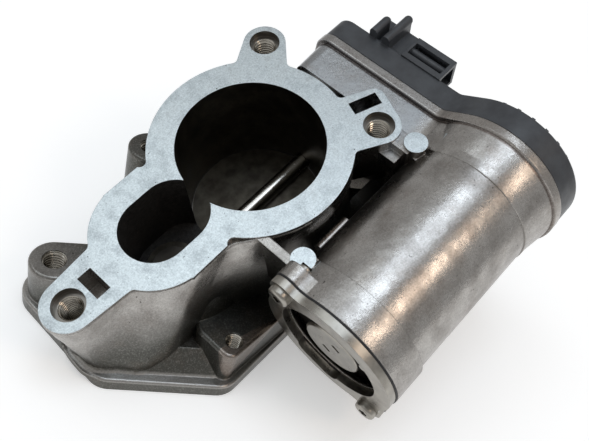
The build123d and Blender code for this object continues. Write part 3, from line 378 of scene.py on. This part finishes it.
def die_cast_aluminium(look):
    """Die-cast aluminium, as cast, then milled and bored: a satin mottled skin, pale milled flange faces,
    a bore browned by oil, a lobe crusted with dry soot, and cut metal round the holes."""
    material, mm = new_material("die_cast_aluminium")
    flange = in_flange_frame(material, mm)
    parts = add(material, "ShaderNodeSeparateXYZ", {"Vector": flange})
    x, y, z = (parts.outputs[i] for i in range(3))
    base = add(material, "ShaderNodeSeparateXYZ", {"Vector": mm}).outputs["Z"]
    from_bore = distance_from_axis(material, flange, 0.0, 0.0)

    in_pads = both(
        material,
        math_node(material, "GREATER_THAN", z, FACE_Z),
        math_node(material, "LESS_THAN", z, PADS_TOP_Z),
        math_node(material, "GREATER_THAN", y, PADS_END_Y),
        math_node(material, "LESS_THAN", x, PADS_END_X),
    )
    milled = math_node(material, "MAXIMUM", in_pads, math_node(material, "LESS_THAN", base, BASE_FACE_Z))
    cast = cast_skin(material, look, mm, x, y, z, base)
    finish = layer(material, milled, cast, milled_face(material, look, mm, from_bore))

    below = math_node(material, "LESS_THAN", z, UNDER_FACE_Z)
    in_bore = both(material, math_node(material, "LESS_THAN", from_bore, BORE_OUT), below)
    finish = layer(material, in_bore, finish, oiled_bore(material, look, mm))

    held = math_node(material, "MINIMUM", math_node(material, "MAXIMUM", x, LOBE_X[0]), LOBE_X[1])
    from_lobe = length(material, math_node(material, "SUBTRACT", x, held), y)
    in_lobe = both(material, math_node(material, "LESS_THAN", from_lobe, LOBE_OUT), below)
    finish = layer(material, in_lobe, finish, dry_soot(material, look, mm))

    cut = {"tone": linear("#77736D"), "rough": 0.3, "metal": 1.0, "height": 0.3, "edge": CUT_EDGE}
    for hole in FLANGE_HOLES:
        near = math_node(material, "LESS_THAN", distance_from_axis(material, flange, *hole), CUT_OUT)
        finish = layer(material, both(material, near, below), finish, cut)
    edge, height = finish.pop("edge"), finish.pop("height")
    return finish_surface(material, height, 0.06, 0.8, edge, **finish)


def plain_metal(name, colour, second, roughness, grain=0.3):
    """A turned, ground, plated or drawn metal: two near tones in soft clouds over a fine grain."""
    material, mm = new_material(name)
    cloud = noise(material, mm, 4.0, 3.0)
    tone = tone_cloud(material, cloud, 0.35, 0.65, colour, second)
    rough = spread(material, cloud, 0.3, 0.7, roughness + 0.06, roughness - 0.04)
    marks = noise(material, mm, grain, 2.0)
    return finish_surface(material, marks, 0.02, 0.5, 0.15 * MM, tone, rough, 1.0)


def moulded(name, colour, second, roughness):
    """A moulded or pressed non-metal: close tones, a fine moulded grain and a soft sheen."""
    material, mm = new_material(name)
    cloud = noise(material, mm, 5.0, 3.0)
    tone = tone_cloud(material, cloud, 0.35, 0.65, colour, second)
    rough = spread(material, cloud, 0.3, 0.7, roughness + 0.06, roughness - 0.06)
    marks = noise(material, mm, 0.5, 2.0)
    return finish_surface(material, marks, 0.03, 0.6, 0.3 * MM, tone, rough, 0.0)


SLOT_MATERIALS = {
    "ground_steel": lambda look: plain_metal("ground_steel", "#C9C6C0", "#B5B1AA", 0.22),
    "zinc_steel": lambda look: plain_metal("zinc_plated_steel", "#A9A59D", "#8F8B84", 0.3),
    "stainless_plate": lambda look: plain_metal("sooted_stainless_plate", "#56524A", "#403C36", 0.42),
    "bronze": lambda look: plain_metal("sintered_bronze", "#B98A57", "#9B7042", 0.4),
    "copper": lambda look: plain_metal("enamelled_copper", "#B4653A", "#9C4F2A", 0.3),
    "dark_steel": lambda look: plain_metal("dark_steel", "#56534F", "#3F3D3B", 0.38),
    "tin": lambda look: plain_metal("tinned_brass", "#CFCDC8", "#BDBAB3", 0.25),
    "cover_plastic": lambda look: moulded("moulded_nylon", look.cover_dark, look.cover_light, 0.42),
    "gear_plastic": lambda look: moulded("moulded_acetal", "#D9D3C4", "#CBC4B3", 0.38),
    "black_rubber": lambda look: moulded("moulded_rubber", "#17171A", "#202023", 0.6),
    "seal_bead": lambda look: moulded("silicone_bead", "#3A342E", "#2B2723", 0.5),
    "ferrite": lambda look: moulded("sintered_ferrite", "#33312F", "#262523", 0.55),
    "pale_plastic": lambda look: moulded("pale_thermoset", "#CBC6BA", "#BEB8AA", 0.4),
    "circuit_board": lambda look: moulded("circuit_board", "#1F5A38", "#184A2D", 0.35),
}


# ---------------------------------------------------------------------------------------- surfaces
def closed_piece(name, points, faces, material):
    """A smooth piece of points in metres and faces, which are turned outward by the sign of its volume."""
    mesh = bpy.data.meshes.new(name)
    mesh.from_pydata(points.tolist(), [], faces)
    mesh.calc_loop_triangles()
    corners = np.empty(3 * len(mesh.loop_triangles), np.int32)
    mesh.loop_triangles.foreach_get("vertices", corners)
    a, b, c = (points[corners[k::3]] for k in range(3))
    if np.einsum("ij,ij->", a, np.cross(b, c)) < 0:
        mesh.flip_normals()
    mesh.polygons.foreach_set("use_smooth", np.ones(len(faces), bool))
    mesh.materials.append(material)
    piece = bpy.data.objects.new(name, mesh)
    bpy.context.scene.collection.objects.link(piece)
    return piece


def closed_grid(name, points, material):
    """A piece made from a grid of points that closes both ways, like a ring."""
    rows, cols = points.shape[:2]
    index = np.arange(rows * cols).reshape(rows, cols)
    down, along = np.roll(index, -1, 0), np.roll(index, -1, 1)
    faces = np.stack([index, along, np.roll(down, -1, 1), down], -1).reshape(-1, 4)
    return closed_piece(name, points.reshape(-1, 3), faces.tolist(), material)


def closed_strip(name, points, material):
    """A piece swept along a path from closed sections, one row each, with its two ends capped and its edges
    sharp above SHARP_FROM."""
    rows, cols = points.shape[:2]
    index = np.arange(rows * cols).reshape(rows, cols)
    across = np.roll(index, -1, 1)
    faces = np.stack([index[:-1], across[:-1], across[1:], index[1:]], -1).reshape(-1, 4).tolist()
    for row, centre, step in ((0, rows * cols, -1), (rows - 1, rows * cols + 1, 1)):
        ring = index[row][::step]
        faces += [(int(a), int(b), centre) for a, b in zip(ring, np.roll(ring, -1))]
    flat = np.concatenate([points.reshape(-1, 3), points[[0, -1]].mean(1)])
    piece = closed_piece(name, flat, faces, material)
    piece.data.set_sharp_from_angle(angle=SHARP_FROM)
    return piece


def smooth_path(stations, count):
    """A Catmull-Rom curve through given stations, sampled evenly along its stations."""
    p = np.asarray(stations, float)
    p = np.concatenate([[2 * p[0] - p[1]], p, [2 * p[-1] - p[-2]]])
    u = np.linspace(0, len(stations) - 1 - 1e-9, count)
    k, t = u.astype(int), (u % 1.0)[:, None]
    a, b, c, d = (p[k + j] for j in range(4))
    return 0.5 * (2 * b + (c - a) * t + (2 * a - 5 * b + 4 * c - d) * t**2 + (3 * b - a - 3 * c + d) * t**3)


def plan_normals(path):
    """Unit normals of a path in plan, level, on the side that looks to -y halfway along."""
    run = np.gradient(path, axis=0)
    side = np.column_stack([run[:, 1], -run[:, 0], np.zeros(len(run))])
    side *= -np.sign(side[len(side) // 2, 1])
    return side / np.linalg.norm(side, axis=1)[:, None]


def body_skirt():
    """Sections of the cast wall in front of the lobe and the side lug: each starts inside the flange's edge,
    rounds out over WALL_LIP, runs straight down to the base flange and ends in a hollow foot, a quarter of a
    circle of FOOT_R, then comes back up WALL_T inside."""
    edge, foot = (smooth_path([pair[k] for pair in WALL_STATIONS], WALL_SECTIONS) for k in (0, 1))
    edge_out, out = plan_normals(edge), plan_normals(foot)
    edge = np.column_stack([edge, np.zeros(len(edge))])
    foot = np.column_stack([foot, np.full(len(foot), FOOT_Z)])
    up = np.array([0.0, 0.0, 1.0])
    lips = [stand(edge + edge_out * grow + up * level) / MM for grow, level in WALL_LIP]
    heel = foot - out * FOOT_R + up * FOOT_R
    rows = lips[:-1] + [lips[-1] + (heel - lips[-1]) * t for t in np.linspace(0, 1, 16)]
    for turn in np.linspace(0, math.pi / 2, 7)[1:]:
        rows.append(foot - out * FOOT_R * math.cos(turn) + up * FOOT_R * (1 - math.sin(turn)))
    rows.append(foot - up * FOOT_SINK)
    rows.append(foot - out * (WALL_T + FOOT_R) - up * FOOT_SINK)
    rows.append(lips[0] - edge_out * WALL_T - up * 1.0)
    return np.stack(rows, 1) * MM


def thread_sleeve(radius, pitch, top, bottom):
    """Points of one thread inside a hole, x, y and z in mm about the hole's axis: the radius falls by
    0.5413 pitch from root to crest, clip((0.875 - u) / 0.625, 0, 1) deep where u = |2t - 1| and t is the
    part of a turn, and fades out over the first and last half pitch; a plain outer skin closes it."""
    turns = (top - bottom) / pitch
    rows = int(turns * 12) + 1
    around = np.linspace(0, 2 * np.pi, 40, endpoint=False)
    z = np.linspace(top, bottom, rows)[:, None]
    t = np.mod(z / pitch - around[None] / (2 * np.pi), 1.0)
    crest = np.clip((0.875 - np.abs(2 * t - 1)) / 0.625, 0, 1)
    fade = np.clip(np.minimum(top - z, z - bottom) / (0.5 * pitch), 0, 1)
    r = radius - 0.01 - 0.5413 * pitch * crest * fade
    r = np.concatenate([r, np.full((2, len(around)), radius + 0.06)])
    ends = [np.full((1, len(around)), level) for level in (bottom, top)]
    z = np.concatenate([np.repeat(z, len(around), 1), *ends])
    return np.stack([r * np.cos(around), r * np.sin(around), z], -1)


# --------------------------------------------------------------------------------------- settings
def hex_setting(name, what, default):
    """A colour setting, written as sRGB hex."""
    return bpy.props.StringProperty(name=name, description=f"{what}, sRGB hex", default=default)


def size_setting(name, what, default, **limits):
    """A number setting."""
    return bpy.props.FloatProperty(name=name, description=what, default=default, **limits)


class ValveFinish(bpy.types.PropertyGroup):
    """Colours and roughness of the finishes."""

    cast_light: hex_setting("Cast light", "Light tone of the cast skin", "#AFACA8")
    cast_dark: hex_setting("Cast dark", "Dark tone of the cast skin", "#8F8B87")
    cast_warm: hex_setting("Cast stain", "Warm stain on the cast skin", "#6E5F52")
    # painted shade on the body's walls
    wall_painted_shade: hex_setting("Body wall", "Tone of the body's walls", "#53534F")
    # painted shade low on the body
    low_painted_shade: hex_setting("Base flange", "Tone low on the body", "#5C5B56")
    # painted light on the deck
    deck_painted_light: hex_setting("Deck", "Tone of the deck beside the cover", "#9CA0A4")
    # painted shade that darkens the barrel's underside
    barrel_painted_shade: hex_setting("Barrel underside", "Tone low on the barrel", "#7A7068")
    lip_tone: hex_setting("Lip", "Tone of the tray's lip", "#98928C")
    cast_rough: size_setting("Cast roughness", "Roughness of the cast skin", 0.27, min=0.0, max=1.0)
    cast_edge: size_setting("Cast edge", "Softened edge of the casting, mm", 0.5, min=0.0, max=3.0)
    milled_light: hex_setting("Milled light", "Light tone of milled faces", "#D0D8DA")
    milled_dark: hex_setting("Milled dark", "Dark tone of milled faces", "#B2BABD")
    bore_light: hex_setting("Bore light", "Light tone of the bore", "#5A554A")
    bore_dark: hex_setting("Bore dark", "Dark tone of the bore", "#38342E")
    bore_film: hex_setting("Bore film", "Oily film on the bore", "#33362F")
    soot_light: hex_setting("Soot light", "Light tone of the soot", "#2C2926")
    soot_dark: hex_setting("Soot dark", "Dark tone of the soot", "#171513")
    cover_dark: hex_setting("Cover dark", "Dark tone of the gear cover", "#303236")
    cover_light: hex_setting("Cover light", "Light tone of the gear cover", "#3D4044")


class StageLook(bpy.types.PropertyGroup):
    """Floor, lamps and camera."""

    floor_colour: hex_setting("Floor", "Colour of the floor", "#F4F4F3")
    floor_size: size_setting("Floor size", "Side of the floor", 6.0, min=1.0, unit="LENGTH")
    world_level: size_setting("Room light", "Strength of the room's even light", 0.5, min=0.0)
    key_power: size_setting("Key lamp", "Power of the cool lamp overhead", 3.7, min=0.0, unit="POWER")
    side_power: size_setting("Side lamp", "Power of the warm side lamp", 1.9, min=0.0, unit="POWER")
    face_power: size_setting("Face lamp", "Power of the milled face's lamp", 2.8, min=0.0, unit="POWER")
    lens: size_setting("Lens", "Focal length of the camera, mm", 44.02, min=10.0)


def settings(context):
    """The scene's two groups of settings."""
    return context.scene.egr_finish, context.scene.egr_stage


def floor_paint(look):
    """Matt white floor paint that lifts to the background's white and still takes the object's shadow."""
    material, _ = new_material("pale_floor_paint")
    path = add(material, "ShaderNodeLightPath")
    seen = path.outputs["Is Camera Ray"]
    for ray in ("Is Glossy Ray", "Is Transmission Ray"):
        seen = math_node(material, "MAXIMUM", seen, path.outputs[ray])
    coat = {
        "Base Color": linear(look.floor_colour),
        "Roughness": 0.9,
        "Specular IOR Level": 0.1,
        "Emission Color": linear("#FFFFFF"),
        "Emission Strength": scaled(material, seen, FLOOR_LIFT),
    }
    paint = add(material, "ShaderNodeBsdfPrincipled", coat)
    add(material, "ShaderNodeOutputMaterial", {"Surface": paint.outputs["BSDF"]})
    return material


def floor_mesh(size):
    """One square face at the floor's level."""
    half = size / 2
    mesh = bpy.data.meshes.new("floor")
    corners = [(-half, -half, 0), (half, -half, 0), (half, half, 0), (-half, half, 0)]
    mesh.from_pydata(corners, [], [(0, 1, 2, 3)])
    return mesh


# --------------------------------------------------------------------------------------- operators
class EGR_OT_finishes(bpy.types.Operator):
    """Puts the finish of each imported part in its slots."""

    bl_idname = "egr.finishes"
    bl_label = "Finishes"

    def execute(self, context):
        look, _ = settings(context)
        made = {name: make(look) for name, make in SLOT_MATERIALS.items()}
        made["die_cast_aluminium"] = die_cast_aluminium(look)
        for node in NODES.values():
            slots = node.data.materials
            for index, old in enumerate(slots):
                name = old.name.split(".")[0] if old else ""
                if name not in made:
                    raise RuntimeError(f"{node.name}: no finish for {name!r}")
                slots[index] = made[name]
        return {"FINISHED"}


class EGR_OT_skirt(bpy.types.Operator):
    """Adds the full cast wall between the upper flange and the base flange's rim."""

    bl_idname = "egr.skirt"
    bl_label = "Body wall"

    def execute(self, context):
        material = NODES["valve_housing"].data.materials[0]
        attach(closed_strip("body_skirt", body_skirt(), material), "housing")
        return {"FINISHED"}


class EGR_OT_threads(bpy.types.Operator):
    """Cuts the threads that show in the bolt holes of both flanges."""

    bl_idname = "egr.threads"
    bl_label = "Threads"

    def execute(self, context):
        material = plain_metal("tapped_aluminium", "#C9C4BA", "#A5A096", 0.16, grain=0.3)
        radius, pitch, top, bottom = FLANGE_THREAD
        for index, (x, y) in enumerate(FLANGE_HOLES):
            points = thread_sleeve(radius, pitch, top, bottom) + (x, y, 0.0)
            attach(closed_grid(f"flange_thread_{index + 1}", stand(points), material), "housing")
        for index, (x, y, bottom, top, radius, pitch) in enumerate(BASE_HOLES):
            points = thread_sleeve(radius, pitch, top - THREAD_START, bottom + THREAD_START) + (x, y, 0.0)
            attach(closed_grid(f"base_thread_{index + 1}", points * MM, material), "housing")
        return {"FINISHED"}


class EGR_OT_stage(bpy.types.Operator):
    """Makes the floor, the lamps, the room's light and the camera."""

    bl_idname = "egr.stage"
    bl_label = "Stage"

    def execute(self, context):
        _, look = settings(context)
        scene = context.scene
        floor = bpy.data.objects.new("floor", floor_mesh(look.floor_size))
        floor.data.materials.append(floor_paint(look))
        scene.collection.objects.link(floor)

        world = bpy.data.worlds.new("room")
        world.use_nodes = True
        background = world.node_tree.nodes["Background"]
        background.inputs["Color"].default_value = linear("#FFFFFF")
        background.inputs["Strength"].default_value = look.world_level
        scene.world = world

        for name, power, size, colour, place in LAMPS:
            lamp = bpy.data.lights.new(name, "AREA")
            lamp.energy, lamp.shape, lamp.size = getattr(look, power), "SQUARE", size
            lamp.color = linear(colour)[:3]
            holder = bpy.data.objects.new(name, lamp)
            holder.location = place
            aim = Vector(LAMP_AIM) - Vector(place)
            holder.rotation_euler = aim.to_track_quat("-Z", "Y").to_euler()
            scene.collection.objects.link(holder)

        camera = bpy.data.cameras.new("camera")
        camera.lens, camera.sensor_width = look.lens, SENSOR_WIDTH
        camera.clip_start, camera.clip_end = 0.01, 20.0
        eye = bpy.data.objects.new("camera", camera)
        eye.location = EYE_PLACE
        eye.rotation_euler = Euler([math.radians(a) for a in EYE_TURN], "XYZ")
        scene.collection.objects.link(eye)
        scene.camera = eye
        scene.view_settings.view_transform = "Standard"
        return {"FINISHED"}


class EGR_PT_panel(bpy.types.Panel):
    """Lists the pieces and their settings."""

    bl_idname = "EGR_PT_panel"
    bl_label = "EGR valve"
    bl_space_type = "VIEW_3D"
    bl_region_type = "UI"
    bl_category = "EGR valve"

    def draw(self, context):
        for group in settings(context):
            box = self.layout.box()
            for name in group.__annotations__:
                box.prop(group, name)
        for operator in OPERATORS:
            self.layout.operator(operator.bl_idname)


OPERATORS = (EGR_OT_finishes, EGR_OT_skirt, EGR_OT_threads, EGR_OT_stage)
CLASSES = (ValveFinish, StageLook, *OPERATORS, EGR_PT_panel)


def register():
    """Adds the classes and the two groups of settings."""
    for cls in CLASSES:
        bpy.utils.register_class(cls)
    bpy.types.Scene.egr_finish = bpy.props.PointerProperty(type=ValveFinish)
    bpy.types.Scene.egr_stage = bpy.props.PointerProperty(type=StageLook)


def unregister():
    """Takes them away again."""
    del bpy.types.Scene.egr_stage
    del bpy.types.Scene.egr_finish
    for cls in reversed(CLASSES):
        bpy.utils.unregister_class(cls)


def main():
    """Builds everything in order."""
    register()
    for operator in OPERATORS:
        result = getattr(bpy.ops.egr, operator.bl_idname.split(".")[1])()
        if result != {"FINISHED"}:
            raise RuntimeError(operator.bl_idname)


if __name__ == "__main__":
    main()
